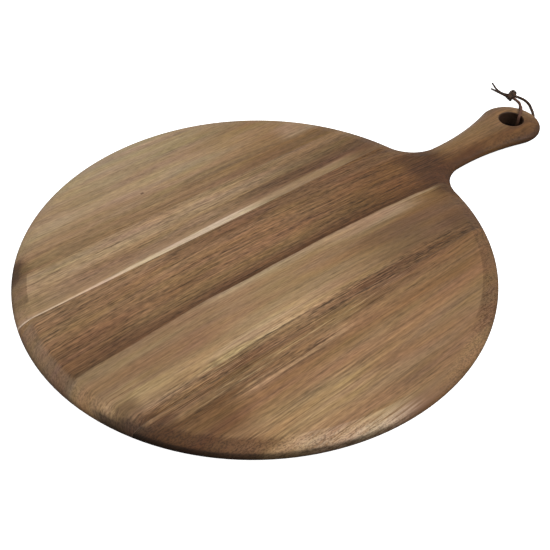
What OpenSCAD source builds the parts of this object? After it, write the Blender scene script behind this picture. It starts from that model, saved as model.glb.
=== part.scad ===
// Round pizza serving board: four staves of wood glued edge to edge, a handle cut from the
// middle stave, and a leather thong knotted through the hole in the handle's end.
// Frame: the board lies face up on z = 0, the centre of its round part is at x = y = 0,
// and the handle runs along +X.

/* [Board] */
// Diameter of the round part
board_d = 400; // [300:1:480]
// Thickness of the board
board_t = 18; // [16:0.5:24]
// Width of the sloping border round the face, seen from above
bevel_w = 14; // [8:0.5:16]
// Drop of the sloping border, from the face to the edge
bevel_drop = 7; // [4:0.5:8]
// Softness of the line where the face turns down into the border, 1 being sharp
crease_power = 1.2; // [1.2:0.05:2]
// Softness of the line where the border turns into the edge, 1 being sharp
edge_power = 2.4; // [1:0.05:3]
// Width of the border that slopes in below the edge, seen from below
under_w = 12; // [4:0.5:14]
// Height of the border that slopes in below the edge
under_h = 10; // [4:0.5:11]
// Softness of the lower border's two lines, 1 being sharp
under_power = 1.25; // [1:0.05:2]

/* [Staves] */
// Distance from the handle's centre line to the joint behind the middle stave
middle_back = 45; // [35:0.5:60]
// Distance from the handle's centre line to the joint in front of the middle stave
middle_front = 92; // [60:0.5:120]
// Width of the narrow stave behind the middle one
inner_w = 47; // [30:0.5:70]
// Thickness of the cured glue in each joint
glue_t = 0.2; // [0.1:0.05:0.4]

/* [Handle] */
// Length of the handle, from the rim of the round part to its tip
handle_l = 148; // [110:1:200]
// Width of the round end of the handle
eye_d = 59; // [50:0.5:80]
// Width of the neck at its narrowest place
neck_w = 34.5; // [28:0.5:46]
// Distance from the rim of the round part to the narrowest place of the neck
neck_from_rim = 38; // [30:1:60]
// Radius of the corners between the round part and the neck
root_r = 34; // [20:1:40]
// Diameter of the hole in the round end
hole_d = 23.5; // [16:0.5:28]
// Radius of the eased rims of the hole
hole_ease = 1.2; // [0.5:0.1:2]
// Height of the handle's underside above the table
handle_lift = 3.6; // [3.2:0.1:5]
// Distance from the rim of the round part to where the underside starts to rise
lift_from_rim = 4; // [0:1:20]
// Radius of the curve in which the underside rises
lift_r = 250; // [100:10:500]

/* [Thong] */
// Diameter of the round leather thong
thong_d = 2.5; // [2:0.1:3]
// Radius of the knot's ring, to the middle of its turns
knot_r = 3.5; // [3:0.1:5]
// How far the knot's turns weave in and out of the ring
knot_weave = 1.35; // [1.3:0.05:2]
// How far the knot's turns weave along the ring's axis
knot_wide = 2; // [1.3:0.05:2.5]

/* [Hidden] */

// Colours of the wood, the glue and the leather
pale_wood = [0.62, 0.46, 0.29];
tan_wood = [0.66, 0.49, 0.31];
dark_wood = [0.42, 0.27, 0.16];
warm_wood = [0.60, 0.41, 0.23];
glue_brown = [0.30, 0.19, 0.10];
leather = [0.22, 0.13, 0.09];

// Room that a cut leaves beyond the solid it cuts
over = 1;
// Steps in the curved parts of the edge, of the underside and of the hole's rims
bevel_steps = 14;
under_steps = 8;
lift_steps = 8;
ease_steps = 4;
// Facets of the round shapes where they are shown as a mesh
$fn = 180;
// Depth by which each curve of the outline dips under the next, so that the two cross cleanly
blend_dip = 0.04;

// Plan of the outline: disc O, round end E, neck arcs about N and root arcs about F
board_r = board_d / 2;
eye_r = eye_d / 2;
neck_half = neck_w / 2;
eye_x = board_r + handle_l - eye_r;
neck_x = board_r + neck_from_rim;
neck_run = eye_x - neck_x;
neck_r = (neck_run ^ 2 + neck_half ^ 2 - eye_r ^ 2) / (2 * (eye_r - neck_half));
disc_centre = [0, 0];
eye_centre = [eye_x, 0];
neck_centre = [neck_x, neck_half + neck_r];
root_centre = circles_meet(disc_centre, board_r + root_r, neck_centre, neck_r - root_r);
root_share = neck_centre.y / (neck_centre.y - root_centre.y);
root_end = [neck_x + (root_centre.x - neck_x) * root_share, 0];

// Joints between the staves, as distances along y
inner_joint = middle_back;
rear_joint = middle_back + inner_w;
front_joint = -middle_front;
half_glue = glue_t / 2;

// The underside rises in an arc from lift_x to lift_end and stays level to the tip
lift_x = board_r + lift_from_rim;
lift_run = sqrt(lift_r ^ 2 - (lift_r - handle_lift) ^ 2);
lift_end = lift_x + lift_run;

// Edge of the board from the face down to the base, as [distance in from the outline, z].
// Both borders are quarters of superellipses.
upper_edge = [for (i = [0 : bevel_steps]) let (a = 90 * i / bevel_steps)
  [bevel_w * (1 - sin(a) ^ (2 / crease_power)), board_t - bevel_drop * (1 - cos(a) ^ (2 / edge_power))]];
lower_edge = [for (i = [0 : under_steps]) let (a = 90 * i / under_steps)
  [under_w * (1 - cos(a) ^ (2 / under_power)), under_h * (1 - sin(a) ^ (2 / under_power))]];
edge = concat(upper_edge, lower_edge);

// Thong: sides of its tube, steps round its knot, and the place of the knot. The thong's points
// are measured from the middle of the hole, at the height of the table.
thong_sides = 8;
knot_steps = 30;
knot_at = [47, 40, 6.2];
knot_turn = 117;

// Route of the loop: from the knot along the table, under the handle's end, up through the hole,
// over the end and back to the knot
loop_route = [
  [49, 39.3, 6.1], [50.8, 37.6, 5.4], [53, 35, 4], [55.5, 32, 2.4], [57, 28.5, 1.6],
  [57, 24, 1.3], [55.5, 19, 1.3], [52.5, 14.5, 1.3], [48, 8.5, 1.3], [43, 3.5, 1.3],
  [36.5, -1, 1.3], [29, -4, 1.3], [21.5, -5.2, 1.3], [16, -5.4, 1.3], [13, -5, 1.4],
  [10.7, -4.5, 1.9], [8.9, -4, 3], [7.7, -3.6, 4.8], [7.2, -3.4, 7.4], [7.2, -3.3, 10.8],
  [7.6, -3.1, 14.2], [9.1, -2.4, 17.6], [11.1, -1.3, 19.2], [14, 0.4, 19.8],
  [17.8, 2.9, 19.6], [21.5, 5.7, 18.6], [25.1, 8.5, 17], [28.1, 11, 14.7], [30.7, 13, 11.3],
  [33.3, 14.8, 7.8], [36.3, 16.8, 4.7], [40, 19.2, 2.5], [44, 22, 1.5],
  [47.5, 24.8, 1.3], [50, 27.6, 1.4], [51, 30.6, 1.9], [50.3, 33.2, 3], [48.6, 35.6, 4.6],
  [46.4, 38, 6.1]
];
// Routes of the two free ends, from the knot out along the table
long_tail_route = [
  [47.6, 42, 6.1], [46.9, 44.6, 5.6], [46.5, 47.8, 4.2], [47, 51.5, 2.5], [48.3, 55.5, 1.5],
  [50.3, 60, 1.3], [52.7, 64.5, 1.3], [55, 68.5, 1.3], [57, 72.5, 1.3]
];
short_tail_route = [
  [45, 40.7, 6.1], [43.8, 43.4, 5.2], [43.3, 46.2, 3.6], [43.7, 49.5, 2.1], [45, 53.5, 1.4],
  [46, 57.5, 1.3], [47, 61.5, 1.3], [47.3, 65.5, 1.3]
];

// The point at rp from p and rq from q that lies on the right of the way from p to q
function circles_meet(p, rp, q, rq) =
  let (
    gap = norm(q - p),
    along = (q - p) / gap,
    reach = (rp ^ 2 - rq ^ 2 + gap ^ 2) / (2 * gap),
    aside = sqrt(rp ^ 2 - reach ^ 2)
  )
  p + reach * along + aside * [along.y, -along.x];

// The same point on the other side of the handle's centre line
function mirrored(p) = [p.x, -p.y];

function unit(v) = v / norm(v);

// Directions of a route at its points, from each point's two neighbours
function headings(route, closed) =
  let (n = len(route))
  [for (i = [0 : n - 1])
    let (
      before = closed ? (i + n - 1) % n : max(i - 1, 0),
      after = closed ? (i + 1) % n : min(i + 1, n - 1)
    )
    unit(route[after] - route[before])];

// A direction square to v that is the part of w left over once v is taken out
function squared(w, v) = unit(w - (w * v) * v);

// One square direction for each heading, each turned as little as possible from the last
function square_to(heads, first) =
  [for (i = 0, s = squared(first, heads[0]); i < len(heads);
        i = i + 1, s = i < len(heads) ? squared(s, heads[i]) : s) s];

// Corners of a tube of that diameter along a route, one ring of corners after another
function tube_points(route, heads, squares, d) =
  [for (i = [0 : len(route) - 1])
    for (k = [0 : thong_sides - 1])
      let (a = 360 * k / thong_sides)
      route[i] + d / 2 * (cos(a) * squares[i] + sin(a) * cross(heads[i], squares[i]))];

// A corner's number in its ring, counted round
function corner(ring, k) = ring * thong_sides + k % thong_sides;

// Side faces between each ring and the next, two triangles to a side
function tube_sides(rings, spans) =
  [for (i = [0 : spans - 1])
    for (k = [0 : thong_sides - 1])
      for (half = [0, 1])
        let (
          j = (i + 1) % rings,
          a = corner(i, k),
          b = corner(i, k + 1),
          c = corner(j, k + 1),
          d = corner(j, k)
        )
        half == 0 ? [a, c, b] : [a, d, c]];

// Triangles that close the first ring and the last one
function tube_ends(rings) =
  [for (k = [1 : thong_sides - 2])
    for (ring = [0, rings - 1])
      let (first = corner(ring, 0), left = corner(ring, k), right = corner(ring, k + 1))
      ring == 0 ? [first, left, right] : [first, right, left]];

// A round tube along an open route that is measured from the middle of the hole
module tube(route, d) {
  heads = headings(route, false);
  squares = square_to(heads, [0, 0, 1]);
  rings = len(route);
  translate([eye_x, 0, 0])
    polyhedron(tube_points(route, heads, squares, d), concat(tube_sides(rings, rings - 1), tube_ends(rings)));
}

// A round tube along a closed route, squared to the axis that the route runs about
module ring_tube(route, d, axis) {
  heads = headings(route, true);
  squares = [for (head = heads) squared(axis, head)];
  rings = len(route);
  polyhedron(tube_points(route, heads, squares, d), tube_sides(rings, rings));
}

// Solid of revolution with the board's edge on its outside
module rounded(r) {
  rotate_extrude()
    polygon(concat([[0, board_t]], [for (p = edge) [r - p.x, p.y]], [[0, 0]]));
}

// What a hollow curve of the outline takes away, with the board's edge round it
module hollow(r) {
  rotate_extrude()
    polygon(concat(
      [[0, board_t + over], [r + bevel_w, board_t + over]],
      [for (p = edge) [r + p.x, p.y]],
      [[r + under_w, -over], [0, -over]]
    ));
}

// The wood from the disc's centre to an end point, with a hollow curve cut from each side
module waist(centre, end, r) {
  difference() {
    linear_extrude(board_t)
      polygon([disc_centre, centre, end, mirrored(centre)]);
    for (place = [centre, mirrored(centre)])
      translate([place.x, place.y, 0])
        hollow(r);
  }
}

// The space under the handle, rising in an arc and then level
module lift_cut() {
  arc = [for (i = [0 : lift_steps]) let (x = lift_run * i / lift_steps)
    [lift_x + x, sqrt(lift_r ^ 2 - (lift_run - x) ^ 2) - (lift_r - handle_lift)]];
  past_tip = board_r + handle_l + over;
  rotate([90, 0, 0])
    linear_extrude(2 * board_r, center = true)
      polygon(concat(arc, [[past_tip, handle_lift], [past_tip, -over], [lift_x, -over]]));
}

// The hole with eased rims at the face and at the raised underside
module hole_cut() {
  r = hole_d / 2;
  lower_rim = [for (i = [0 : ease_steps]) let (a = 90 * i / ease_steps)
    [r + hole_ease * (1 - sin(a)), handle_lift + hole_ease * (1 - cos(a))]];
  upper_rim = [for (i = [0 : ease_steps]) let (a = 90 * i / ease_steps)
    [r + hole_ease * (1 - cos(a)), board_t - hole_ease * (1 - sin(a))]];
  translate([eye_x, 0, 0])
    rotate_extrude()
      polygon(concat(
        [[0, -over], [r + hole_ease, -over]],
        lower_rim,
        upper_rim,
        [[r + hole_ease, board_t + over], [0, board_t + over]]
      ));
}

// The whole board before it is divided into staves
module blank() {
  difference() {
    union() {
      rounded(board_r);
      waist(root_centre, root_end, root_r + 2 * blend_dip);
      waist(neck_centre, eye_centre, neck_r + blend_dip);
      translate([eye_x, 0, 0])
        rounded(eye_r);
    }
    lift_cut();
    hole_cut();
  }
}

// The part of the board between two planes square to y
module between(front, back) {
  intersection() {
    blank();
    translate([-board_r - over, front, -over])
      cube([board_d + handle_l + 2 * over, back - front, board_t + 2 * over]);
  }
}

module rear_stave() {
  color(pale_wood)
    between(rear_joint + half_glue, board_r + over);
}

module inner_stave() {
  color(tan_wood)
    between(inner_joint + half_glue, rear_joint - half_glue);
}

module middle_stave() {
  color(dark_wood)
    between(front_joint + half_glue, inner_joint - half_glue);
}

module front_stave() {
  color(warm_wood)
    between(-board_r - over, front_joint - half_glue);
}

// Cured glue that fills one joint
module glue_line(joint) {
  color(glue_brown)
    between(joint - half_glue, joint + half_glue);
}

module thong_loop() {
  color(leather)
    tube(loop_route, thong_d);
}

// The knot: one closed turn that passes twice round a ring and weaves three times through itself
module thong_knot() {
  route = [for (i = [0 : knot_steps - 1])
    let (
      t = 360 * i / knot_steps,
      r = knot_r + knot_weave * cos(3 * t)
    )
    [r * cos(2 * t), r * sin(2 * t), knot_wide * sin(3 * t)]];
  color(leather)
    translate([eye_x, 0, 0] + knot_at)
      rotate([0, 0, knot_turn])
        rotate([0, 90, 0])
          ring_tube(route, thong_d, [0, 0, 1]);
}

module thong_tail_long() {
  color(leather)
    tube(long_tail_route, thong_d);
}

module thong_tail_short() {
  color(leather)
    tube(short_tail_route, thong_d);
}

rear_stave();
inner_stave();
middle_stave();
front_stave();
glue_line(rear_joint);  // rear_glue_line
glue_line(inner_joint);  // inner_glue_line
glue_line(front_joint);  // front_glue_line
thong_loop();
thong_knot();
thong_tail_long();
thong_tail_short();
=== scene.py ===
import math

import bpy
import numpy as np
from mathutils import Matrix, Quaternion, Vector


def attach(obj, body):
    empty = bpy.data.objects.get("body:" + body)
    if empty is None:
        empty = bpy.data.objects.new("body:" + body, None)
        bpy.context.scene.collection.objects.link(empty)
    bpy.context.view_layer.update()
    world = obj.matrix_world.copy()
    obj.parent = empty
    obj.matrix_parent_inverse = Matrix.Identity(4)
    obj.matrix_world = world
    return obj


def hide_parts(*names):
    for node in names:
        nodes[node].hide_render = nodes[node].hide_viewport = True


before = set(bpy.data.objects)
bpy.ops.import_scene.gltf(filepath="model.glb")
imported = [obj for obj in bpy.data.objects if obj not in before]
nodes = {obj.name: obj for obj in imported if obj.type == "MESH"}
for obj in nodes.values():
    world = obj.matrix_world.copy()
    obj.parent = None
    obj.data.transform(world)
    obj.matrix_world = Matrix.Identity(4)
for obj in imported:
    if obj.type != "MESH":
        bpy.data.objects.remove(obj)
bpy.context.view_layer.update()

scene = bpy.context.scene
mm = 0.001  # one millimetre, in the scene's metres
perMetre = 1000.0  # millimetres in a metre
scene.view_settings.view_transform = "Standard"
print("frame loaded:", len(nodes), "nodes")


# the camera stands where the photograph was taken from
cameraView = {
    "position": (-0.32925, -0.43863, 0.51777),
    "aim": (0.00704, -0.01706, 0.0),  # the point on the table in the middle of the frame
    "roll": 0.476,  # degrees, anticlockwise
    "lens": 58.41,
    "sensor": 36.0,
    "nearest": 0.01,
}


def makeCamera(view):
    data = bpy.data.cameras.new("photo_camera")
    data.sensor_fit = "HORIZONTAL"
    data.sensor_width = view["sensor"]
    data.lens = view["lens"]
    data.clip_start = view["nearest"]
    camera = bpy.data.objects.new("photo_camera", data)
    scene.collection.objects.link(camera)
    look = (Vector(view["aim"]) - Vector(view["position"])).to_track_quat("-Z", "Y")
    turn = look @ Quaternion((0.0, 0.0, 1.0), math.radians(view["roll"]))
    camera.rotation_mode = "QUATERNION"
    camera.rotation_quaternion = turn
    camera.location = view["position"]
    scene.camera = camera


makeCamera(cameraView)
print("camera set")


# the leather thong: routes in millimetres from the middle of the hole, z from the table
thong = {
    "hole": (318.5, 0.0),
    "diameter": 2.5,
    "loopSwell": 1.16,  # the loop is a little fuller than the tails
    "sides": 20,
    "step": 0.45,  # distance between rings
    "spanSteps": 24,  # points per span before a route is resampled
    "loopRoute": [
        (49, 39.3, 6.1), (50.8, 37.6, 5.9), (53, 35, 5.1), (55.5, 32, 4), (57, 28.5, 3.2),
        (57, 24, 2.6), (55.5, 19, 1.9), (52.5, 14.5, 1.4), (48, 8.5, 1.3), (43, 3.5, 1.3),
        (36.5, -1, 1.3), (29, -4, 1.3), (21.5, -5.2, 1.3), (16, -5.4, 1.3), (13, -5, 1.4),
        (10.7, -4.5, 1.9), (8.9, -4, 3), (7.7, -3.6, 4.8), (7.2, -3.4, 7.4), (7.2, -3.3, 10.8),
        (7.6, -3.1, 14.2), (9.1, -2.4, 17.6), (11.1, -1.3, 19.2), (14, 0.4, 19.8),
        (17.8, 2.9, 19.6), (21.5, 5.7, 18.6), (25.1, 8.5, 17), (28.1, 11, 14.7),
        (30.7, 13, 11.3), (33.3, 14.8, 7.8), (36.3, 16.8, 4.7), (40, 19.2, 2.5), (44, 22, 1.5),
        (47.5, 24.8, 1.3), (50, 27.6, 1.4), (51, 30.6, 1.9), (50.3, 33.2, 3), (48.6, 35.6, 4.6),
        (46.4, 38, 6.1),
    ],
    "longTailRoute": [
        (47.6, 42, 6.1), (46.8, 44.8, 5.5), (47.4, 50.5, 4), (49.1, 56.2, 3), (51.8, 62.3, 2.3),
        (55.1, 67.6, 1.7), (58, 72.4, 1.3),
    ],
    "shortTailRoute": [
        (45, 40.7, 6.1), (44.2, 43.5, 5.9), (44.8, 48.8, 5.1), (46.1, 54.9, 3.8), (48, 61, 2.1),
        (48.6, 65.8, 1.3),
    ],
    "knotAt": (47.0, 40.0, 6.2),
    "knotTurn": 107.0,  # degrees about the vertical
    "knotRadius": 3.5,
    "knotWeave": 1.35,
    "knotWide": 1.7,
    "knotLong": 1.55,  # drawn out across the cord
    "knotTall": 0.64,
    "knotApart": 0.95,  # each of the two turns of the knot to its side
    "knotShift": (-1.6, 1.0),  # towards the loop, and up
    "knotLean": 28.0,  # degrees, the top towards the loop
    "knotRings": 150,
    "tailThin": 0.3,  # how much narrower the cut ends are
    "tailReach": 24.0,  # mm from the end where the narrowing starts
    "loopLength": 0.166,
    "longTailLength": 0.034,
}


def smoothRoute(points, step, spanSteps):
    # a Catmull-Rom curve through the points: each span is a cubic whose end slopes are half
    # the chord between the neighbours; it is then resampled at even arc length
    p = np.array(points, float)
    p = np.vstack([2 * p[0] - p[1], p, 2 * p[-1] - p[-2]])
    t = np.linspace(0.0, 1.0, spanSteps, endpoint=False)[None, :, None]
    a, b, c, d = p[:-3, None], p[1:-2, None], p[2:-1, None], p[3:, None]
    curve = 0.5 * (2 * b + (c - a) * t + (2 * a - 5 * b + 4 * c - d) * t**2
                   + (3 * b - a - 3 * c + d) * t**3)
    curve = np.vstack([curve.reshape(-1, 3), p[-2]])
    run = lengthRun(curve)
    even = np.linspace(0.0, run[-1], int(run[-1] / step) + 1)
    return np.stack([np.interp(even, run, curve[:, k]) for k in range(3)], axis=1)


def lengthRun(path):
    # how far along the path each of its points lies
    return np.r_[0.0, np.cumsum(np.linalg.norm(np.diff(path, axis=0), axis=1))]


def carriedFrame(path, closed):
    # two directions square to the path, carried from ring to ring with the least twist
    ahead = np.roll(path, -1, axis=0) - np.roll(path, 1, axis=0)
    if not closed:
        ahead[0] = path[1] - path[0]
        ahead[-1] = path[-1] - path[-2]
    ahead = ahead / np.linalg.norm(ahead, axis=1)[:, None]
    side = np.zeros_like(path)
    start = np.cross(ahead[0], (0.0, 0.0, 1.0))
    side[0] = start / np.linalg.norm(start)
    for ring in range(1, len(path)):
        flat = side[ring - 1] - ahead[ring] * np.dot(side[ring - 1], ahead[ring])
        side[ring] = flat / np.linalg.norm(flat)
    return side, np.cross(ahead, side)


def cordSurface(name, path, radius, sides, closed=False):
    # ring i, corner j: path point i plus radius i times (cos j along one square direction and
    # sin j along the other); cordRun keeps the length run, and cordTurn the turn round the cord
    side, lift = carriedFrame(path, closed)
    rings = len(path)
    angle = np.linspace(0.0, 2 * math.pi, sides, endpoint=False)
    size = np.broadcast_to(radius, rings)[:, None, None]
    around = np.cos(angle)[None, :, None] * side[:, None] + np.sin(angle)[None, :, None] * lift[:, None]
    verts = (path[:, None] + size * around).reshape(-1, 3) * mm
    i = np.arange(rings if closed else rings - 1)[:, None]
    j = np.arange(sides)[None, :]
    after, beside = (i + 1) % rings, (j + 1) % sides
    quads = np.stack([i * sides + j, i * sides + beside, after * sides + beside, after * sides + j], axis=2)
    faces = quads.reshape(-1, 4).tolist()
    if not closed:
        faces.append(list(range(sides))[::-1])
        faces.append(list(range((rings - 1) * sides, rings * sides)))
    mesh = bpy.data.meshes.new(name)
    mesh.from_pydata(verts.tolist(), [], faces)
    pointRun = mesh.attributes.new("cordRun", "FLOAT", "POINT")
    pointRun.data.foreach_set("value", np.repeat(lengthRun(path), sides).astype(np.float32))
    turnPair = mesh.attributes.new("cordTurn", "FLOAT_VECTOR", "POINT")
    spin = np.tile(np.stack([np.cos(angle), np.sin(angle), 0 * angle], axis=1), (rings, 1))
    turnPair.data.foreach_set("vector", spin.astype(np.float32).ravel())
    mesh.polygons.foreach_set("use_smooth", np.ones(len(mesh.polygons), bool))
    if not closed:
        for cap in (-1, -2):
            mesh.polygons[len(mesh.polygons) + cap].use_smooth = False
    mesh.update()
    piece = bpy.data.objects.new(name, mesh)
    scene.collection.objects.link(piece)
    return piece


def fromHole(points):
    return np.array(points, float) + np.array([*thong["hole"], 0.0])


def knotRoute(t, aside):
    # a closed trefoil: the radius swells three times and the height waves three times
    # over two turns; it is then tipped onto its side and turned to face along the cord
    a = np.linspace(0.0, 2 * math.pi, t["knotRings"], endpoint=False)
    r = t["knotRadius"] + t["knotWeave"] * np.cos(3 * a)
    x = aside + t["knotWide"] * np.sin(3 * a)
    y = t["knotLong"] * r * np.sin(2 * a)
    z = -t["knotTall"] * r * np.cos(2 * a)
    shift, lift = t["knotShift"]
    lean, turn = math.radians(t["knotLean"]), math.radians(t["knotTurn"])
    tippedX = shift + x * math.cos(lean) - z * math.sin(lean)
    tippedZ = lift + x * math.sin(lean) + z * math.cos(lean)
    turnedX = tippedX * math.cos(turn) - y * math.sin(turn)
    turnedY = tippedX * math.sin(turn) + y * math.cos(turn)
    return fromHole(np.stack([turnedX, turnedY, tippedZ], axis=1) + np.array(t["knotAt"]))


def endTaper(path, radius, t):
    # the radius narrows over the last stretch to a cut end
    left = np.linalg.norm(path - path[-1], axis=1)
    return radius * (1.0 - t["tailThin"] * np.clip(1.0 - left / t["tailReach"], 0.0, 1.0))


def makeThong(t):
    radius = t["diameter"] / 2
    loopPath, longPath, shortPath = (smoothRoute(fromHole(t[route]), t["step"], t["spanSteps"])
                                     for route in ("loopRoute", "longTailRoute", "shortTailRoute"))
    # the fuller loop still lies on the table
    loopPath[:, 2] = np.maximum(loopPath[:, 2], radius * t["loopSwell"])
    loop = cordSurface("leather_loop", loopPath, radius * t["loopSwell"], t["sides"])
    knot = cordSurface("leather_knot", knotRoute(t, -t["knotApart"]), radius, t["sides"], closed=True)
    twin = cordSurface("leather_knot_twin", knotRoute(t, t["knotApart"]), radius, t["sides"], closed=True)
    longTail = cordSurface("leather_long_tail", longPath, endTaper(longPath, radius, t), t["sides"])
    shortTail = cordSurface("leather_short_tail", shortPath, endTaper(shortPath, radius, t), t["sides"])
    for piece, node in ((loop, "thong_loop"), (knot, "thong_knot"), (twin, "thong_knot"),
                        (longTail, "thong_tail_long"), (shortTail, "thong_tail_short")):
        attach(piece, "thong")
        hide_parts(node)
    return [loop, knot, twin, longTail, shortTail]


thongPieces = makeThong(thong)
print("thong made:", len(thongPieces), "pieces")


# small helpers for building shader trees
def addNode(tree, kind, **settings):
    node = tree.nodes.new(kind)
    for key, value in settings.items():
        setattr(node, key, value)
    return node


def feed(tree, socket, value):
    if isinstance(value, bpy.types.NodeSocket):
        tree.links.new(value, socket)
    else:
        socket.default_value = value


def calc(tree, operation, *values):
    node = addNode(tree, "ShaderNodeMath", operation=operation)
    for socket, value in zip(node.inputs, values):
        feed(tree, socket, value)
    return node.outputs[0]


def remap(tree, value, low, high, first=0.0, last=1.0, kind="LINEAR"):
    node = addNode(tree, "ShaderNodeMapRange", interpolation_type=kind)
    for label, number in (("Value", value), ("From Min", low), ("From Max", high),
                          ("To Min", first), ("To Max", last)):
        feed(tree, node.inputs[label], number)
    return node.outputs["Result"]


def ease(tree, value, low, high, first=0.0, last=1.0):
    return remap(tree, value, low, high, first, last, kind="SMOOTHSTEP")


def noiseAt(tree, x, y, z, detail=1.0, roughness=0.5):
    place = addNode(tree, "ShaderNodeCombineXYZ")
    for socket, value in zip(place.inputs, (x, y, z)):
        feed(tree, socket, value)
    noise = addNode(tree, "ShaderNodeTexNoise", noise_dimensions="3D")
    noise.inputs["Scale"].default_value = 1.0
    noise.inputs["Detail"].default_value = detail
    noise.inputs["Roughness"].default_value = roughness
    tree.links.new(place.outputs[0], noise.inputs["Vector"])
    return noise.outputs[0]


def splitVector(tree, vector):
    node = addNode(tree, "ShaderNodeSeparateXYZ")
    tree.links.new(vector, node.inputs[0])
    return node.outputs


def blendColour(tree, amount, first, second, mode="MIX"):
    # the node's labels repeat for each data type, so its colour sockets go by number
    node = addNode(tree, "ShaderNodeMix", data_type="RGBA", blend_type=mode)
    feed(tree, node.inputs[0], amount)
    feed(tree, node.inputs[6], first)
    feed(tree, node.inputs[7], second)
    return node.outputs[2]


def tone(red, green, blue):
    # a screen colour, 0 to 255, as linear light
    part = np.array([red, green, blue]) / 255.0
    linear = np.where(part <= 0.04045, part / 12.92, ((part + 0.055) / 1.055) ** 2.4)
    return (*[float(v) for v in linear], 1.0)


def colourRamp(tree, place, stops):
    node = addNode(tree, "ShaderNodeValToRGB")
    ramp = node.color_ramp
    ramp.interpolation = "EASE"
    while len(ramp.elements) < len(stops):
        ramp.elements.new(0.5)
    for element, (position, colour) in zip(ramp.elements, stops):
        element.position = position
        element.color = tone(*colour)
    feed(tree, node.inputs[0], place)
    return node.outputs[0]


def newGroup(name, inputs, outputs):
    # inputs with no number are vectors
    tree = bpy.data.node_groups.new(name, "ShaderNodeTree")
    for label, value in inputs.items():
        kind = "NodeSocketVector" if value is None else "NodeSocketFloat"
        socket = tree.interface.new_socket(name=label, in_out="INPUT", socket_type=kind)
        if value is not None:
            socket.default_value = value
    for label in outputs:
        tree.interface.new_socket(name=label, in_out="OUTPUT", socket_type="NodeSocketFloat")
    source = addNode(tree, "NodeGroupInput").outputs
    result = addNode(tree, "NodeGroupOutput").inputs
    return tree, source, result


def useGroup(tree, group, values):
    node = addNode(tree, "ShaderNodeGroup")
    node.node_tree = group
    for label, value in values.items():
        feed(tree, node.inputs[label], value)
    return node.outputs


def groupValues(settings):
    # settings that start with a capital are inputs of a group
    return {key: value for key, value in settings.items() if key[0].isupper()}


def newMaterial(name):
    material = bpy.data.materials.new(name)
    material.use_nodes = True
    tree = material.node_tree
    tree.nodes.clear()
    shader = addNode(tree, "ShaderNodeBsdfPrincipled")
    output = addNode(tree, "ShaderNodeOutputMaterial")
    tree.links.new(shader.outputs[0], output.inputs[0])
    return material, tree, shader.inputs


def dress(piece, material):
    piece.data.materials.clear()
    piece.data.materials.append(material)


def addBump(tree, height, distance, strength):
    bump = addNode(tree, "ShaderNodeBump")
    bump.inputs["Strength"].default_value = strength
    bump.inputs["Distance"].default_value = distance
    tree.links.new(height, bump.inputs["Height"])
    return bump.outputs[0]


# what the grain groups have in common, in mm
grainInputs = {"Along": 0.0, "Across": 0.0, "Depth": 0.0}
logShape = {
    "patch": 60.0,  # how far apart the rings wander on their own
    "detail": 3.0,
    "gain": 2.0,  # the noise spans about half its range, so the wander is doubled
    "bowReach": 170.0,  # where Bow is reached, and how many times it is reached at most
    "bowMost": 1.4,
}
poreEdge = 0.12  # how far past its level the noise goes from no pore to a full one
bandBowReach = 100.0  # where a band's own Bow is reached


def makeGrainField():
    # where a point lies in its log, in mm: along the grain, across it with the wander of the
    # rings added, and down from the face
    tree, source, result = newGroup("grainField", {
        "Position": None, "Slope": 0.0, "Bow": 0.0, "Tilt": 0.0, "Wander": 3.0, "Reach": 220.0,
        "Face": 18.0, "Seed": 0.0}, ("Along", "Across", "Depth"))
    along, across, height = (calc(tree, "MULTIPLY", part, perMetre)
                             for part in splitVector(tree, source["Position"]))
    depth = calc(tree, "SUBTRACT", height, source["Face"])
    far = calc(tree, "ADD", calc(tree, "DIVIDE", along, source["Reach"]), source["Seed"])
    aside, below = (calc(tree, "DIVIDE", part, logShape["patch"]) for part in (across, depth))
    drift = noiseAt(tree, far, aside, below, detail=logShape["detail"])
    drift = calc(tree, "MULTIPLY", calc(tree, "SUBTRACT", drift, 0.5), source["Wander"])
    share = calc(tree, "DIVIDE", along, logShape["bowReach"])
    square = calc(tree, "MINIMUM", calc(tree, "MULTIPLY", share, share), logShape["bowMost"])
    shifted = calc(tree, "MULTIPLY_ADD", along, source["Slope"], across)
    shifted = calc(tree, "MULTIPLY_ADD", square, source["Bow"], shifted)
    shifted = calc(tree, "MULTIPLY_ADD", depth, source["Tilt"], shifted)
    tree.links.new(along, result["Along"])
    tree.links.new(calc(tree, "MULTIPLY_ADD", drift, logShape["gain"], shifted), result["Across"])
    tree.links.new(depth, result["Depth"])
    return tree


def fibreNoise(tree, source):
    # noise stretched to Length along the grain and Width across it
    x = calc(tree, "ADD", calc(tree, "DIVIDE", source["Along"], source["Length"]), source["Seed"])
    y = calc(tree, "DIVIDE", source["Across"], source["Width"])
    z = calc(tree, "DIVIDE", source["Depth"], source["Width"])
    return noiseAt(tree, x, y, z)


def makeGrainStreaks():
    # fibres: the stretched noise, from below zero to above it
    tree, source, result = newGroup("grainStreaks", {
        **grainInputs, "Length": 120.0, "Width": 2.0, "Seed": 0.0}, ("Value",))
    tree.links.new(calc(tree, "MULTIPLY_ADD", fibreNoise(tree, source), 2.0, -1.0), result["Value"])
    return tree


def makeGrainLines():
    # hair lines: thin where stretched noise crosses its middle value
    tree, source, result = newGroup("grainLines", {
        **grainInputs, "Length": 150.0, "Width": 5.0, "Thin": 0.05, "Seed": 0.0}, ("Mask",))
    gap = calc(tree, "ABSOLUTE", calc(tree, "SUBTRACT", fibreNoise(tree, source), 0.5))
    tree.links.new(ease(tree, gap, 0.0, source["Thin"], 1.0, 0.0), result["Mask"])
    return tree


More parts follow.
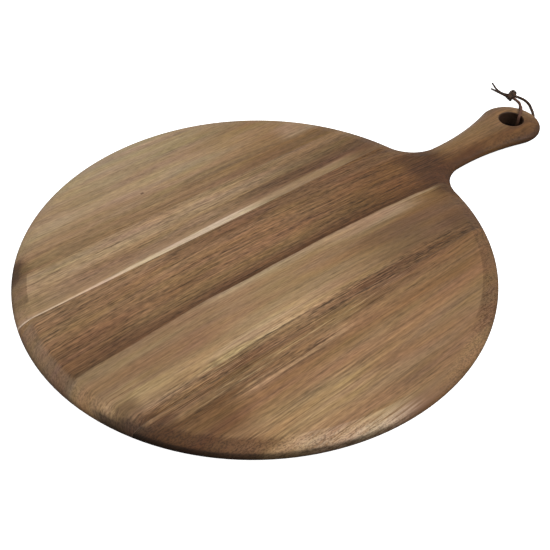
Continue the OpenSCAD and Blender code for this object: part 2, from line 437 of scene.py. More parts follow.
def makePoreDashes():
    # open pores: short dark dashes where stretched noise passes a level
    tree, source, result = newGroup("poreDashes", {
        **grainInputs, "Length": 12.0, "Width": 0.9, "Level": 0.6, "Seed": 0.0}, ("Mask",))
    high = calc(tree, "ADD", source["Level"], poreEdge)
    tree.links.new(ease(tree, fibreNoise(tree, source), source["Level"], high), result["Mask"])
    return tree


def makeFigureBand():
    # one band of colour along the grain: full within Half of its centre line, gone Soft
    # beyond that; the line slopes and bows, and the band fades past Start and End
    tree, source, result = newGroup("figureBand", {
        "Along": 0.0, "Across": 0.0, "Centre": 0.0, "Slope": 0.0, "Bow": 0.0, "Half": 1.0, "Soft": 1.0,
        "Start": -400.0, "End": 400.0, "Fade": 20.0}, ("Mask",))
    line = calc(tree, "MULTIPLY_ADD", source["Along"], source["Slope"], source["Centre"])
    share = calc(tree, "DIVIDE", source["Along"], bandBowReach)
    line = calc(tree, "MULTIPLY_ADD", calc(tree, "MULTIPLY", share, share), source["Bow"], line)
    gap = calc(tree, "ABSOLUTE", calc(tree, "SUBTRACT", source["Across"], line))
    outer = calc(tree, "ADD", source["Half"], source["Soft"])
    body = calc(tree, "SUBTRACT", 1.0, ease(tree, gap, source["Half"], outer))
    before = calc(tree, "SUBTRACT", source["Start"], source["Fade"])
    beyond = calc(tree, "ADD", source["End"], source["Fade"])
    opens = ease(tree, source["Along"], before, source["Start"])
    shuts = calc(tree, "SUBTRACT", 1.0, ease(tree, source["Along"], source["End"], beyond))
    tree.links.new(calc(tree, "MULTIPLY", body, calc(tree, "MULTIPLY", opens, shuts)), result["Mask"])
    return tree


grainField = makeGrainField()
grainStreaks = makeGrainStreaks()
grainLines = makeGrainLines()
poreDashes = makePoreDashes()
figureBand = makeFigureBand()
print("grain groups made")


def band(colour, strength, across, along=(), **more):
    # across: the centre line, half the width and the soft edge; along: where the band starts and
    # ends, and the length it fades over if not the usual one, all in mm
    return {"colour": colour, "strength": strength, **dict(zip(("Centre", "Half", "Soft"), across)),
            **dict(zip(("Start", "End", "Fade"), along)), **more}


# how level the face is where a band stays on the bevel
bevel = (0.972, 0.994)
toCrease = (0.985, 0.9985)
smudged = (0.94, 0.991)
nearBevel = (0.93, 0.978)
outerBevel = (0.87, 0.965)
softBevel = (0.86, 0.988)

# each stave: tones by mm across the board, how much darker it turns to the right, then bands of
# colour on top; "lines" breaks a band into fine lines, "ragged" and "frayed" are how far streaks
# and fibres push its edge, "rim" keeps it to the bevel, and "calm" lists stretches of quieter
# grain, or livelier where "by" is below zero, which come last
rearStave = {
    "node": "rear_stave",
    "material": "rear_wood",
    "span": (90, 202),
    "tones": [(90, (140, 111, 78)), (103, (141, 112, 79)), (118, (150, 122, 90)), (132, (163, 137, 104)),
              (150, (155, 129, 96)), (176, (162, 138, 106)), (202, (164, 140, 109))],
    "rightward": (-20, 150, (224, 211, 190)),
    "field": {"Tilt": 0.5, "Wander": 5.0, "Reach": 260.0, "Seed": 3.1},
    "streaks": (0.22, 0.22, 0.24, 0.32, 0.2, 0.46),
    "mottle": 0.1,
    "lines": {"Length": 220.0, "Width": 7.0, "Thin": 0.04},
    "lineDark": 0.07,
    "pores": {"Length": 12.0, "Width": 1.1, "Level": 0.6},
    "poreDark": 0.12,
    "endDark": 0.2,
    "rimPaintedShade": 0.1,
    "rimShadeFades": (60.0, 160.0),
    "calm": [{"by": 0.2, "Centre": 150.0, "Half": 30.0, "Soft": 20.0}],
    "bands": [
        # the pin knot
        band((60, 42, 31), 0.7, (124.0, 0.5, 1.3), (-33.8, -32.2, 1.6)),
        # lines along the joint, two of which curve away from it
        band((112, 86, 62), 0.2, (97.5, 1.5, 5.0), (-200.0, 200.0), ragged=4.0),
        band((112, 85, 60), 0.5, (111.5, 0.5, 2.0), (10.0, 95.0, 25.0), ragged=2.0, Slope=0.2, Bow=-20.0),
        band((116, 89, 64), 0.4, (106.0, 0.5, 2.4), (20.0, 100.0, 30.0), ragged=2.0, Slope=0.18, Bow=-18.0),
        band((108, 80, 55), 0.6, (100.0, 4.0, 4.0), (85.0, 200.0, 50.0), ragged=3.0, lines=(-0.25, 0.3)),
        # a pale patch to the right, and the dark one at the left rim
        band((170, 146, 118), 0.4, (121.0, 8.0, 8.0), (132.0, 175.0, 22.0), ragged=4.0),
        band((104, 77, 48), 0.6, (99.0, 6.0, 9.0), (-240.0, -162.0, 10.0), ragged=4.0),
        band((66, 44, 28), 0.8, (100.0, 6.0, 11.0), (-240.0, -145.0), ragged=3.0, rim=smudged),
    ],
}
innerStave = {
    "node": "inner_stave",
    "material": "inner_wood",
    "span": (44, 94),
    "tones": [(44, (158, 129, 98)), (56, (147, 118, 87)), (64, (147, 118, 86)), (74, (160, 132, 99)),
              (83, (161, 133, 100)), (94, (146, 117, 84))],
    "rightward": (-20, 160, (184, 171, 154)),
    "field": {"Tilt": 0.3, "Wander": 2.4, "Reach": 240.0, "Seed": 7.7},
    "streaks": (0.16, 0.22, 0.3, 0.44, 0.28, 0.55),
    "mottle": 0.06,
    "lines": {"Length": 160.0, "Width": 6.0, "Thin": 0.05},
    "lineDark": 0.12,
    "pores": {"Length": 13.0, "Width": 0.9, "Level": 0.58},
    "poreDark": 0.2,
    "endDark": 0.2,
    "rimPaintedShade": 0.1,
    "rimShadeFades": (60.0, 160.0),
    "calm": [{"by": 0.5, "Centre": 48.0, "Half": 4.0, "Soft": 6.0}],
    "bands": [
        # the middle of the stave
        band((96, 69, 47), 0.85, (61.5, 3.0, 5.0), (80.0, 220.0, 90.0), ragged=2.0),
        band((122, 94, 67), 0.4, (60.0, 2.0, 5.0), (-110.0, 60.0, 50.0), ragged=4.0, lines=(-0.4, 0.3)),
        band((148, 118, 87), 0.6, (87.0, 3.0, 6.0), (100.0, 220.0, 45.0), ragged=3.0),
        # the sapwood edge, pale to the left and brown to the right
        band((206, 179, 149), 0.95, (31.9, 18.0, 1.3), (-230.0, 5.0, 100.0),
             ragged=0.8, frayed=0.3, Slope=0.0225),
        band((150, 123, 92), 0.8, (32.1, 18.5, 2.0), (60.0, 125.0, 45.0), ragged=1.2, Slope=0.0287),
        # the left rim
        band((104, 78, 52), 0.6, (80.0, 12.0, 12.0), (-240.0, -140.0), ragged=3.0, rim=toCrease),
        band((66, 44, 28), 0.8, (97.0, 5.0, 9.0), (-240.0, -150.0), ragged=3.0, rim=smudged),
    ],
}
middleStave = {
    "node": "middle_stave",
    "material": "middle_wood",
    "span": (-94, 46),
    "tones": [(-94, (134, 102, 70)), (-86, (142, 110, 77)), (-77, (151, 121, 87)), (-66, (161, 131, 93)),
              (-48, (149, 118, 83)), (-32, (148, 119, 85)), (-21.0, (160, 132, 99)), (-20.2, (105, 74, 47)),
              (-15.5, (114, 83, 54)), (-8, (122, 91, 60)), (4, (132, 99, 67)),
              (20, (137, 104, 71)), (46, (138, 106, 74))],
    "rightward": (-10, 180, (202, 185, 162)),
    "field": {"Bow": 6.3, "Tilt": -1.4, "Wander": 1.4, "Reach": 260.0, "Seed": 1.4},
    "streaks": (0.16, 0.18, 0.5, 0.72, 0.14, 0.75),
    "fray": 2.0,
    "mottle": 0.12,
    "lines": {"Length": 140.0, "Width": 6.0, "Thin": 0.05},
    "lineDark": 0.16,
    "pores": {"Length": 13.0, "Width": 0.9, "Level": 0.58},
    "poreDark": 0.12,
    "endDark": 0.3,
    "rimPaintedShade": 0.1,
    "rimShadeFades": (400.0, 500.0),
    "calm": [{"by": 0.55, "Centre": -47.0, "Half": 23.0, "Soft": 9.0},
             {"by": 0.4, "Centre": 0.0, "Half": 60.0, "Soft": 10.0, "Start": 230.0, "End": 420.0},
             {"by": -0.25, "Centre": -87.0, "Half": 7.0, "Soft": 7.0}],
    "bands": [
        # the border of heartwood and sapwood
        band((82, 54, 31), 0.65, (-16.5, 2.0, 6.0), ragged=2.0, frayed=2.0, lines=(-0.3, 0.3)),
        band((72, 45, 22), 0.75, (-18.8, 0.9, 1.3), frayed=2.0, lines=(-0.7, 0.2)),
        band((176, 148, 114), 0.5, (-22.8, 0.8, 1.6), (-60.0, 260.0, 60.0), frayed=2.0),
        band((112, 83, 56), 0.45, (-23.5, 3.5, 6.0), (-220.0, -80.0, 35.0), ragged=3.0, frayed=2.0),
        # broad patches of the face
        band((98, 69, 44), 0.55, (-2.0, 9.0, 8.0), (-240.0, -145.0, 40.0), ragged=5.0),
        band((110, 80, 54), 0.8, (39.0, 4.0, 7.0), (-20.0, 230.0, 70.0), ragged=4.0),
        band((110, 82, 56), 0.9, (-67.0, 23.0, 9.0), (125.0, 260.0, 95.0), ragged=8.0),
        band((86, 61, 40), 0.55, (-72.0, 9.0, 10.0), (160.0, 240.0, 16.0), ragged=5.0),
        band((140, 110, 80), 0.45, (-61.0, 6.0, 8.0), (5.0, 60.0, 30.0), ragged=5.0),
        band((160, 132, 101), 0.7, (-29.0, 3.0, 6.0), (70.0, 130.0, 40.0), ragged=3.0),
        band((134, 102, 72), 0.7, (-47.0, 8.0, 9.0), (-200.0, -100.0, 40.0), ragged=6.0),
        band((187, 161, 119), 0.6, (-72.0, 4.0, 5.0), (-80.0, -5.0, 45.0), ragged=7.0, lines=(-0.8, 0.2)),
        band((182, 153, 115), 0.35, (-57.0, 4.0, 6.0), (-240.0, -158.0, 20.0),
             ragged=5.0, lines=(-0.4, 0.3)),
        # dark lines by the front joint
        band((76, 49, 25), 0.75, (-86.0, 4.5, 5.0), (-220.0, -85.0, 50.0), ragged=3.0, lines=(-0.15, 0.2)),
        band((80, 52, 28), 0.4, (-88.0, 5.0, 5.0), (-60.0, 40.0, 40.0), ragged=3.0, lines=(-0.05, 0.2)),
        band((80, 53, 30), 0.75, (-83.5, 2.5, 4.0), (45.0, 140.0, 40.0), ragged=2.0, lines=(-0.15, 0.15)),
        # the handle and the neck
        band((99, 68, 37), 1.0, (0.0, 90.0, 5.0), (205.0, 420.0, 20.0)),
        band((128, 96, 62), 0.85, (16.5, 8.0, 11.0), (236.0, 420.0, 26.0), ragged=6.0),
        band((74, 47, 28), 0.85, (-3.5, 26.0, 14.0), (188.0, 206.0, 20.0), ragged=8.0),
        band((78, 47, 26), 0.75, (-10.5, 8.0, 11.0), (205.0, 250.0, 25.0), ragged=4.0),
        # the rim, from left to right, and the handle's bevel
        # a painted grey sheen on the left bevel of the heartwood
        band((124, 101, 80), 0.6, (14.0, 36.0, 3.0), (-240.0, -150.0), ragged=3.0, rim=bevel),
        band((96, 70, 47), 0.7, (-76.0, 11.0, 9.0), (-240.0, -167.0, 12.0), ragged=4.0),
        band((80, 54, 30), 0.8, (-90.0, 4.0, 6.0), (-240.0, -160.0, 16.0), ragged=3.0),
        band((50, 35, 25), 0.85, (-66.0, 12.0, 11.0), (-240.0, -140.0), ragged=3.0, rim=outerBevel),
        band((72, 51, 35), 0.9, (-88.0, 12.0, 18.0), (-240.0, -140.0), ragged=4.0, rim=smudged),
        band((92, 66, 45), 0.5, (-70.0, 26.0, 8.0), (150.0, 200.0), ragged=4.0, rim=bevel),
        # painted shade on the handle's near bevel, which faces away from the light
        band((66, 44, 28), 0.7, (-19.5, 10.0, 8.0), (215.0, 420.0), ragged=3.0, rim=softBevel),
        # a painted highlight along the handle's far bevel
        band((166, 140, 112), 0.5, (28.5, 8.0, 5.0), (240.0, 420.0), ragged=3.0, rim=softBevel),
    ],
    "hole": (318.5, 0.0, 12.6, (42, 24, 16)),  # its middle and radius in mm, and the tone of its wall, painted shade over darker end grain
}
frontStave = {
    "node": "front_stave",
    "material": "front_wood",
    "span": (-202, -90),
    "tones": [(-202, (132, 100, 68)), (-180, (142, 110, 77)), (-165, (152, 121, 85)), (-145, (154, 122, 85)),
              (-132, (147, 113, 78)), (-120, (138, 103, 69)), (-108, (141, 107, 73)), (-98, (138, 105, 72)),
              (-90, (132, 100, 68))],
    "rightward": (0, 150, (231, 226, 220)),
    "field": {"Slope": -0.03, "Tilt": 0.4, "Wander": 1.4, "Reach": 240.0, "Seed": 5.2},
    "streaks": (0.14, 0.18, 0.38, 0.5, 0.18, 0.46),
    "mottle": 0.05,
    "lines": {"Length": 260.0, "Width": 6.0, "Thin": 0.045},
    "lineDark": 0.16,
    "pores": {"Length": 14.0, "Width": 1.0, "Level": 0.6},
    "poreDark": 0.2,
    "endDark": 0.42,
    # painted shade on the steep lower rim, strongest to the left and fading out to the right
    "rimPaintedShade": 0.72,
    "rimShadeFades": (-60.0, 30.0),
    "calm": [{"by": 0.15, "Centre": -150.0, "Half": 25.0, "Soft": 20.0},
             {"by": 0.25, "Centre": -140.0, "Half": 60.0, "Soft": 10.0, "Start": 60.0, "Fade": 50.0},
             {"by": -0.25, "Centre": -100.0, "Half": 9.0, "Soft": 9.0}],
    "bands": [
        # dark and pale lines by the joint
        band((76, 49, 24), 0.75, (-98.5, 6.0, 6.0), (-220.0, -85.0, 40.0), ragged=2.0, lines=(-0.15, 0.2)),
        band((76, 49, 24), 0.5, (-98.5, 5.0, 6.0), (-75.0, 30.0, 30.0), ragged=2.0, lines=(-0.05, 0.2)),
        band((72, 46, 23), 0.8, (-95.5, 7.5, 5.0), (42.0, 80.0, 22.0), ragged=2.0, lines=(-0.25, 0.2)),
        band((80, 53, 30), 0.5, (-96.5, 1.5, 3.0), (90.0, 150.0, 25.0), ragged=2.0, lines=(-0.2, 0.2)),
        band((172, 142, 104), 0.6, (-98.5, 2.5, 3.0), (-150.0, 60.0, 60.0), ragged=3.0, lines=(0.0, 0.4)),
        band((172, 141, 102), 0.7, (-109.5, 2.5, 4.0), (-80.0, -10.0, 25.0), ragged=3.0, lines=(-0.5, 0.2)),
        # broad patches of the face
        band((84, 56, 35), 0.75, (-98.0, 5.0, 6.0), (-240.0, -154.0, 14.0), ragged=4.0),
        band((96, 64, 36), 0.75, (-115.0, 10.0, 9.0), (-200.0, -120.0, 30.0), ragged=4.0),
        band((116, 83, 52), 0.6, (-140.0, 9.0, 12.0), (-220.0, -118.0, 20.0), ragged=4.0),
        band((168, 136, 96), 0.45, (-155.0, 10.0, 12.0), (-110.0, -20.0, 50.0),
             ragged=4.0, lines=(-0.2, 0.4)),
        band((134, 102, 72), 0.75, (-166.0, 18.0, 14.0), (15.0, 220.0, 60.0), ragged=6.0),
        # the bevel, from left to right
        band((62, 42, 28), 0.85, (-92.0, 8.0, 16.0), (-240.0, -130.0), ragged=4.0, rim=smudged),
        band((76, 47, 23), 0.85, (-118.0, 16.0, 14.0), (-240.0, -115.0, 20.0), ragged=4.0, rim=bevel),
        band((92, 63, 37), 0.75, (-146.0, 9.0, 10.0), (-240.0, -105.0, 15.0), ragged=4.0, rim=bevel),
        # painted highlights along the near bevel, partly over paler end grain, in this band and the next
        band((200, 172, 138), 0.5, (-184.0, 16.0, 10.0), (-76.0, -30.0, 35.0),
             ragged=5.0, lines=(-0.5, 0.3), rim=toCrease),
        band((206, 179, 150), 0.35, (-186.0, 8.0, 6.0), (-46.0, -15.0, 22.0),
             ragged=3.0, lines=(-0.7, 0.3), rim=nearBevel),
        band((112, 82, 56), 0.6, (-182.0, 16.0, 10.0), (0.0, 30.0, 30.0), ragged=3.0, rim=outerBevel),
        band((96, 68, 43), 0.6, (-132.0, 44.0, 14.0), (108.0, 300.0, 46.0), ragged=5.0, rim=toCrease),
        band((74, 49, 28), 0.65, (-158.0, 18.0, 12.0), (92.0, 118.0, 26.0),
             lines=(0.05, 0.3), rim=toCrease),
    ],
}


def spread(stops, span):
    # ramp positions from mm across the board
    low, high = span
    return [((y - low) / (high - low), colour) for y, colour in stops]


# what the staves have in common; an offset moves a pattern's seed on from the stave's own
fibres = ((300.0, 11.0), (150.0, 4.5), (80.0, 2.3), (36.0, 1.4), (14.0, 2.6), (7.0, 1.15))  # length, width
hairFibre = {"Length": 55.0, "Width": 0.95, "offset": 12.0}  # the finest lines, which break up the bands
endGrain = {"Length": 2.0, "Width": 1.05, "Level": 0.47, "offset": 2.0}  # pores cut across, on the bevels
mottle = {"Length": 30.0, "Width": 11.0, "offset": 30.0}  # soft patches across the figure
redness = {"Length": 85.0, "Width": 13.0, "offset": 20.0,
           "from": (1.034, 0.975, 1.0, 1.0), "to": (0.975, 1.03, 1.0, 1.0)}
blueness = {"Length": 60.0, "Width": 9.0, "offset": 40.0,
            "from": (1.0, 1.0, 1.1, 1.0), "to": (1.0, 1.0, 0.94, 1.0)}
woodLook = {
    "poreOffset": 9.0,
    "lineOffset": 5.0,
    "threads": (0.8, 0.6),  # shares of hair lines and of fibres in the threads that break up bands
    "fray": 0.7,  # mm that fibres push the tones, unless the stave says otherwise
    "frayed": 0.6,  # and the edge of a band
    "levelFray": 0.005,
    "hueDrift": (-0.35, 0.35),
    "rimQuiet": 0.6,
    "endShows": (0.0, 0.1),  # how far a face turns along the grain for the fibres' ends to show
    "speckMiddle": 0.45,
    "steep": (0.72, 0.92),  # how level the face is on the lower part of the rim
    "rimShadeLeft": 0.08,  # what stays of the painted rim shade where it has faded
    "darkest": 0.3,
    "holeEdge": 0.5,
    "holeStrength": 0.9,
    "specular": 0.2,
    "roughness": 0.52,
    "streakRough": 0.06,
    "poreRough": 0.12,
    "streakHeight": 0.35,
    "bump": (0.00012, 0.5),  # metres, and strength
}


def readGrain(tree, s):
    # the sockets that colour and shade are made from: the place in the log, the fibres, the
    # pores and how level the face is
    spot = addNode(tree, "ShaderNodeTexCoord").outputs
    field = useGroup(tree, grainField, {"Position": spot["Object"], **s["field"]})
    place = {label: field[label] for label in grainInputs}

    def pattern(group, settings, offset):
        seed = s["field"]["Seed"] + offset
        return useGroup(tree, group, {**place, **groupValues(settings), "Seed": seed})[0]

    streaks = [pattern(grainStreaks, {"Length": length, "Width": width}, k)
               for k, (length, width) in enumerate(fibres)]
    fine = calc(tree, "ADD", streaks[2], streaks[3])
    facing = splitVector(tree, spot["Normal"])
    flat = calc(tree, "ABSOLUTE", facing[2])
    level = calc(tree, "MULTIPLY_ADD", fine, woodLook["levelFray"], flat)
    return {
        "position": spot["Object"],
        "along": field["Along"],
        "across": field["Across"],
        "pattern": pattern,
        "streaks": streaks,
        "fine": fine,
        "pores": pattern(poreDashes, s["pores"], woodLook["poreOffset"]),
        "flat": flat,
        "level": level,
        "onRim": ease(tree, level, *bevel, 1.0, 0.0),
        "endOn": ease(tree, calc(tree, "ABSOLUTE", facing[0]), *woodLook["endShows"]),
    }


def woodColour(tree, s, g):
    # tones across the board, darker to the right, with the bands on top
    along, across, fine = g["along"], g["across"], g["fine"]
    hairShare, fineShare = woodLook["threads"]
    hair = g["pattern"](grainStreaks, hairFibre, hairFibre["offset"])
    threads = calc(tree, "MULTIPLY_ADD", hair, hairShare, calc(tree, "MULTIPLY", fine, fineShare))
    frayed = calc(tree, "MULTIPLY_ADD", fine, s.get("fray", woodLook["fray"]), across)
    colour = colourRamp(tree, remap(tree, frayed, *s["span"]), spread(s["tones"], s["span"]))
    start, end, shadeTone = s["rightward"]
    darker = blendColour(tree, 1.0, colour, tone(*shadeTone), "MULTIPLY")
    colour = blendColour(tree, ease(tree, along, start, end), colour, darker)
    for strip in s["bands"]:
        ragged = calc(tree, "MULTIPLY_ADD", g["streaks"][1], strip.get("ragged", 0.0), across)
        ragged = calc(tree, "MULTIPLY_ADD", fine, strip.get("frayed", woodLook["frayed"]), ragged)
        mask = useGroup(tree, figureBand, {"Along": along, "Across": ragged, **groupValues(strip)})["Mask"]
        if "lines" in strip:
            mask = calc(tree, "MULTIPLY", mask, ease(tree, threads, *strip["lines"]))
        if "rim" in strip:
            mask = calc(tree, "MULTIPLY", mask, ease(tree, g["level"], *strip["rim"], 1.0, 0.0))
        amount = calc(tree, "MULTIPLY", mask, strip["strength"])
        colour = blendColour(tree, amount, colour, tone(*strip["colour"]))
    # soft patches of redder and greener, and of greyer and yellower brown
    for hue in (redness, blueness):
        drift = g["pattern"](grainStreaks, hue, hue["offset"])
        tint = blendColour(tree, remap(tree, drift, *woodLook["hueDrift"]), hue["from"], hue["to"])
        colour = blendColour(tree, 1.0, colour, tint, "MULTIPLY")
    return colour


def woodShade(tree, s, g):
    # fibres lighten and darken the colour, and pores and hair lines darken it
    along, across = g["along"], g["across"]
    patches = g["pattern"](grainStreaks, mottle, mottle["offset"])
    shade = calc(tree, "MULTIPLY_ADD", patches, s["mottle"], 1.0)
    for streak, weight in zip(g["streaks"], s["streaks"]):
        shade = calc(tree, "MULTIPLY_ADD", streak, weight, shade)
    shade = calc(tree, "SUBTRACT", shade, calc(tree, "MULTIPLY", g["pores"], s["poreDark"]))
    hairs = g["pattern"](grainLines, s["lines"], woodLook["lineOffset"])
    shade = calc(tree, "SUBTRACT", shade, calc(tree, "MULTIPLY", hairs, s["lineDark"]))
    # the grain is quieter on the bevel and in the calm stretches
    quiet = calc(tree, "MULTIPLY", g["onRim"], woodLook["rimQuiet"])
    for strip in s["calm"]:
        mask = useGroup(tree, figureBand, {"Along": along, "Across": across, **groupValues(strip)})["Mask"]
        joining = "MAXIMUM" if strip["by"] > 0.0 else "ADD"
        quiet = calc(tree, joining, quiet, calc(tree, "MULTIPLY", mask, strip["by"]))
    contrast = calc(tree, "SUBTRACT", shade, 1.0)
    shade = calc(tree, "SUBTRACT", shade, calc(tree, "MULTIPLY", contrast, quiet))
    # where the bevel cuts across the fibres their ends show as speckle
    specks = g["pattern"](poreDashes, endGrain, endGrain["offset"])
    specks = calc(tree, "SUBTRACT", specks, woodLook["speckMiddle"])
    specks = calc(tree, "MULTIPLY", specks, calc(tree, "MULTIPLY", g["endOn"], g["onRim"]))
    shade = calc(tree, "MULTIPLY_ADD", specks, -s["endDark"], shade)
    # painted shade: the steep lower part of the rim, which faces away from the light, is darkened, less so
    # to the right where the light reaches it
    steep = ease(tree, g["flat"], *woodLook["steep"], s["rimPaintedShade"], 0.0)
    steep = calc(tree, "MULTIPLY", steep, ease(tree, along, *s["rimShadeFades"], 1.0, woodLook["rimShadeLeft"]))
    shade = calc(tree, "MAXIMUM", shade, woodLook["darkest"])
    return calc(tree, "MULTIPLY", shade, calc(tree, "SUBTRACT", 1.0, steep))


def paintHoleShade(tree, hole, position, colour):
    # painted shade inside the hole, over the darker end grain of its wall: within reach of its axis the
    # colour turns to a near-black tone
    holeX, holeY, reach, holeShadeTone = hole
    x, y, _ = splitVector(tree, position)
    offX = calc(tree, "MULTIPLY_ADD", x, perMetre, -holeX)
    offY = calc(tree, "MULTIPLY_ADD", y, perMetre, -holeY)
    squares = calc(tree, "ADD", calc(tree, "MULTIPLY", offX, offX), calc(tree, "MULTIPLY", offY, offY))
    edge = woodLook["holeEdge"]
    inside = ease(tree, calc(tree, "SQRT", squares), reach - edge, reach + edge, 1.0, 0.0)
    amount = calc(tree, "MULTIPLY", inside, woodLook["holeStrength"])
    return blendColour(tree, amount, colour, tone(*holeShadeTone))


def makeWood(s):
    material, tree, surface = newMaterial(s["material"])
    g = readGrain(tree, s)
    colour = woodColour(tree, s, g)
    colour = blendColour(tree, 1.0, colour, woodShade(tree, s, g), "MULTIPLY")
    if "hole" in s:
        colour = paintHoleShade(tree, s["hole"], g["position"], colour)
    tree.links.new(colour, surface["Base Color"])
    surface["Specular IOR Level"].default_value = woodLook["specular"]
    rough = calc(tree, "MULTIPLY_ADD", g["streaks"][1], woodLook["streakRough"], woodLook["roughness"])
    rough = calc(tree, "MULTIPLY_ADD", g["pores"], woodLook["poreRough"], rough)
    tree.links.new(rough, surface["Roughness"])
    ridges = calc(tree, "MULTIPLY", g["streaks"][2], woodLook["streakHeight"])
    height = calc(tree, "SUBTRACT", ridges, g["pores"])
    tree.links.new(addBump(tree, height, *woodLook["bump"]), surface["Normal"])
    dress(nodes[s["node"]], material)
    return nodes[s["node"]]


glueLine = {
    "nodes": ("rear_glue_line", "inner_glue_line", "front_glue_line"),
    "material": "glue_seam",
    "stops": [(0.1, (74, 54, 40)), (0.9, (112, 86, 64))],
    "field": {"Seed": 2.0},
    "streak": {"Length": 40.0, "Width": 4.0, "Seed": 4.0},
    "roughness": (0.1, 0.5),  # its swing, and its middle
    "bump": (0.0001, 0.3),
}


def makeGlue(s):
    material, tree, surface = newMaterial(s["material"])
    spot = addNode(tree, "ShaderNodeTexCoord").outputs
    field = useGroup(tree, grainField, {"Position": spot["Object"], **s["field"]})
    place = {label: field[label] for label in grainInputs}
    streak = useGroup(tree, grainStreaks, {**place, **s["streak"]})["Value"]
    tree.links.new(colourRamp(tree, calc(tree, "ADD", streak, 0.5), s["stops"]), surface["Base Color"])
    tree.links.new(calc(tree, "MULTIPLY_ADD", streak, *s["roughness"]), surface["Roughness"])
    tree.links.new(addBump(tree, streak, *s["bump"]), surface["Normal"])
    for name in s["nodes"]:
        dress(nodes[name], material)


leather = {
    "material": "thong_leather",
    "stops": [(0.25, (40, 28, 20)), (0.5, (64, 44, 31)), (0.85, (102, 72, 50))],  # dark to worn
    "pale": (126, 84, 66),
    "paleFrom": (84.0, 100.0),  # mm along the loop where the sunlit strand starts
    "paleStrength": 0.75,
    "paleShare": 0.6,
    "grain": (0.7, 3.0, 0.6),  # size in mm, detail and roughness of the noise
    "patches": (9.0, 2.0, 0.5),
    "twist": 0.16,  # turns of the grain per mm of cord
    "ridgeTone": 0.16,  # shares of ridge, grain and patches in the tone
    "grainTone": 0.5,
    "patchTone": 0.4,
    "specular": 0.22,
    "roughness": (0.2, 0.8, 0.66, 0.48),  # from low to high grain
    "ridgeHeight": 0.3,
    "bump": (0.00025, 0.5),
}


def makeLeather(s, pieces):
    material, tree, surface = newMaterial(s["material"])
    spot = addNode(tree, "ShaderNodeTexCoord").outputs
    place = [calc(tree, "MULTIPLY", part, perMetre) for part in splitVector(tree, spot["Object"])]
    grain, patches = (noiseAt(tree, *(calc(tree, "DIVIDE", part, size) for part in place), detail, roughness)
                      for size, detail, roughness in (s["grain"], s["patches"]))
    # a ridge winds round the cord as it runs
    run = addNode(tree, "ShaderNodeAttribute", attribute_name="cordRun").outputs["Fac"]
    turn = addNode(tree, "ShaderNodeAttribute", attribute_name="cordTurn").outputs["Vector"]
    turnCos, turnSin, _ = splitVector(tree, turn)
    phase = calc(tree, "MULTIPLY", run, s["twist"] * 2 * math.pi)
    ridge = calc(tree, "ADD", calc(tree, "MULTIPLY", turnCos, calc(tree, "COSINE", phase)),
                 calc(tree, "MULTIPLY", turnSin, calc(tree, "SINE", phase)))
    mixed = calc(tree, "MULTIPLY", patches, s["patchTone"])
    mixed = calc(tree, "MULTIPLY_ADD", grain, s["grainTone"], mixed)
    mixed = calc(tree, "MULTIPLY_ADD", ridge, s["ridgeTone"], mixed)
    colour = colourRamp(tree, mixed, s["stops"])
    sunlit = ease(tree, run, *s["paleFrom"], 0.0, s["paleStrength"])
    paler = blendColour(tree, s["paleShare"], colour, tone(*s["pale"]))
    tree.links.new(blendColour(tree, sunlit, colour, paler), surface["Base Color"])
    surface["Specular IOR Level"].default_value = s["specular"]
    tree.links.new(remap(tree, grain, *s["roughness"]), surface["Roughness"])
    height = calc(tree, "MULTIPLY_ADD", ridge, s["ridgeHeight"], grain)
    tree.links.new(addBump(tree, height, *s["bump"]), surface["Normal"])
    for piece in pieces:
        dress(piece, material)


rounding = {"weld": 2e-6, "crease": 35.0}  # metres, and degrees


def makeSmoothing(s):
    # welds a node's loose triangles on the way to the render and shades them smooth up to a
    # crease angle, so that the bevels read as turned wood
    tree = bpy.data.node_groups.new("roundedShading", "GeometryNodeTree")
    tree.interface.new_socket(name="Geometry", in_out="INPUT", socket_type="NodeSocketGeometry")
    tree.interface.new_socket(name="Geometry", in_out="OUTPUT", socket_type="NodeSocketGeometry")
    source = addNode(tree, "NodeGroupInput")
    weld = addNode(tree, "GeometryNodeMergeByDistance")
    weld.inputs["Distance"].default_value = s["weld"]
    faces = addNode(tree, "GeometryNodeSetShadeSmooth", domain="FACE")
    edges = addNode(tree, "GeometryNodeSetShadeSmooth", domain="EDGE")
    angle = addNode(tree, "GeometryNodeInputMeshEdgeAngle")
    sharp = addNode(tree, "FunctionNodeCompare", data_type="FLOAT", operation="GREATER_THAN")
    sharp.inputs[1].default_value = math.radians(s["crease"])
    result = addNode(tree, "NodeGroupOutput")
    tree.links.new(source.outputs[0], weld.inputs["Geometry"])
    tree.links.new(weld.outputs[0], faces.inputs["Geometry"])
    tree.links.new(faces.outputs[0], edges.inputs["Geometry"])
    tree.links.new(angle.outputs["Unsigned Angle"], sharp.inputs[0])
    tree.links.new(sharp.outputs[0], edges.inputs["Selection"])
    edges.inputs["Shade Smooth"].default_value = False
    tree.links.new(edges.outputs[0], result.inputs[0])
    return tree


smoothing = makeSmoothing(rounding)
for stave in (rearStave, innerStave, middleStave, frontStave):
    node = makeWood(stave)
    node.modifiers.new("rounded", "NODES").node_group = smoothing
    weighted = node.modifiers.new("weighted", "WEIGHTED_NORMAL")
    weighted.keep_sharp = True
    print("wood laid on", stave["node"])
makeGlue(glueLine)
makeLeather(leather, thongPieces)
print("glue and leather done")


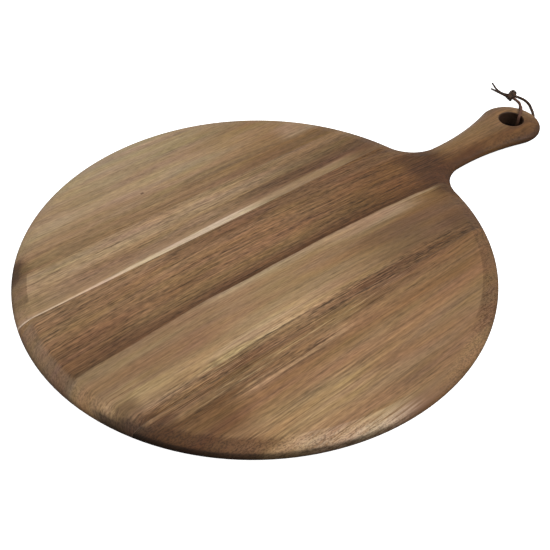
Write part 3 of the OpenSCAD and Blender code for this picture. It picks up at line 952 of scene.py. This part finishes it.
# floor and light
studio = {
    "floorSize": 8.0,
    "floorDrop": -0.0003,  # just clear of the underside
    "paper": [(0.3, (232, 232, 232)), (0.7, (238, 238, 238))],
    "paperScale": 3.0,
    "paperRough": 0.9,
    "paperSpecular": 0.1,
    "floorBounce": (118, 118, 118),  # how the floor looks to the wood, as if flagged off
    "floorGlow": 1.0,
    "holeShade": (34, 30, 30),
    "holeSeen": (325.5, 8.6),  # the patch of floor that shows through the hole
    "holePatch": (0.0135, 0.016),
    "skyLow": 0.2,
    "skyHigh": 0.75,
    "backGlow": 0.9,  # the bright paper behind, low over the floor
    "backWay": (0.45, 0.89),  # which way it stands, and how wide and how high it shows
    "backWide": (0.2, 0.9),
    "backHigh": (0.05, 0.4),
    "lamps": [
        {"name": "key_softbox", "at": (0.7, -1.15, 1.6), "aim": (0.0, 0.0, 0.0), "size": 0.8, "power": 20.0},
        {"name": "top_softbox", "at": (-0.3, 0.2, 2.1), "aim": (0.0, 0.0, 0.0), "size": 1.2, "power": 6.0},
    ],
}
white = (1.0, 1.0, 1.0, 1.0)


def makeFloor(s):
    # one square, its four corners half the size from the middle
    corner = np.array([[-1, -1], [1, -1], [1, 1], [-1, 1]], float) * s["floorSize"] / 2
    mesh = bpy.data.meshes.new("studio_floor")
    mesh.from_pydata(np.c_[corner, np.full(4, s["floorDrop"])].tolist(), [], [[0, 1, 2, 3]])
    floor = bpy.data.objects.new("studio_floor", mesh)
    scene.collection.objects.link(floor)
    material, tree, surface = newMaterial("floor_paper")
    spot = addNode(tree, "ShaderNodeTexCoord").outputs["Object"]
    noise = addNode(tree, "ShaderNodeTexNoise")
    noise.inputs["Scale"].default_value = s["paperScale"]
    tree.links.new(spot, noise.inputs["Vector"])
    paper = colourRamp(tree, noise.outputs[0], s["paper"])
    seen = addNode(tree, "ShaderNodeLightPath").outputs["Is Camera Ray"]
    surface["Emission Color"].default_value = white
    # the patch of floor seen down the hole stays in its own shade
    holeAt = addNode(tree, "ShaderNodeVectorMath", operation="DISTANCE")
    holeAt.inputs[1].default_value = (s["holeSeen"][0] * mm, s["holeSeen"][1] * mm, s["floorDrop"])
    tree.links.new(spot, holeAt.inputs[0])
    clear = ease(tree, holeAt.outputs["Value"], *s["holePatch"])
    paper = blendColour(tree, clear, tone(*s["holeShade"]), paper)
    tree.links.new(blendColour(tree, seen, tone(*s["floorBounce"]), paper), surface["Base Color"])
    glow = calc(tree, "MULTIPLY", calc(tree, "MULTIPLY", seen, clear), s["floorGlow"])
    tree.links.new(glow, surface["Emission Strength"])
    surface["Roughness"].default_value = s["paperRough"]
    surface["Specular IOR Level"].default_value = s["paperSpecular"]
    mesh.materials.append(material)


def makeLamp(lamp):
    data = bpy.data.lights.new(lamp["name"], "AREA")
    data.shape = "DISK"
    data.size = lamp["size"]
    data.energy = lamp["power"]
    light = bpy.data.objects.new(lamp["name"], data)
    light.location = lamp["at"]
    toAim = Vector(lamp["aim"]) - Vector(lamp["at"])
    light.rotation_euler = toAim.to_track_quat("-Z", "Y").to_euler()
    scene.collection.objects.link(light)


def makeSky(s):
    # the sky brightens overhead and low down at the back; the camera sees it plain white
    world = bpy.data.worlds.new("studio_sky")
    world.use_nodes = True
    sky = world.node_tree
    x, y, z = splitVector(sky, addNode(sky, "ShaderNodeTexCoord").outputs["Generated"])
    overhead = remap(sky, z, 0.0, 1.0, s["skyLow"], s["skyHigh"])
    wayX, wayY = s["backWay"]
    behind = calc(sky, "ADD", calc(sky, "MULTIPLY", x, wayX), calc(sky, "MULTIPLY", y, wayY))
    low = ease(sky, z, *s["backHigh"], 1.0, 0.0)
    glow = calc(sky, "MULTIPLY", remap(sky, behind, *s["backWide"]), low)
    lit = calc(sky, "ADD", overhead, calc(sky, "MULTIPLY", glow, s["backGlow"]))
    seen = addNode(sky, "ShaderNodeLightPath").outputs["Is Camera Ray"]
    strength = addNode(sky, "ShaderNodeMix", data_type="FLOAT")
    for socket, value in zip(strength.inputs[:1] + strength.inputs[2:4], (seen, lit, 1.0)):
        feed(sky, socket, value)
    sky.nodes["Background"].inputs["Color"].default_value = white
    sky.links.new(strength.outputs[0], sky.nodes["Background"].inputs["Strength"])
    scene.world = world


makeFloor(studio)
for softbox in studio["lamps"]:
    makeLamp(softbox)
makeSky(studio)
print("studio lit")
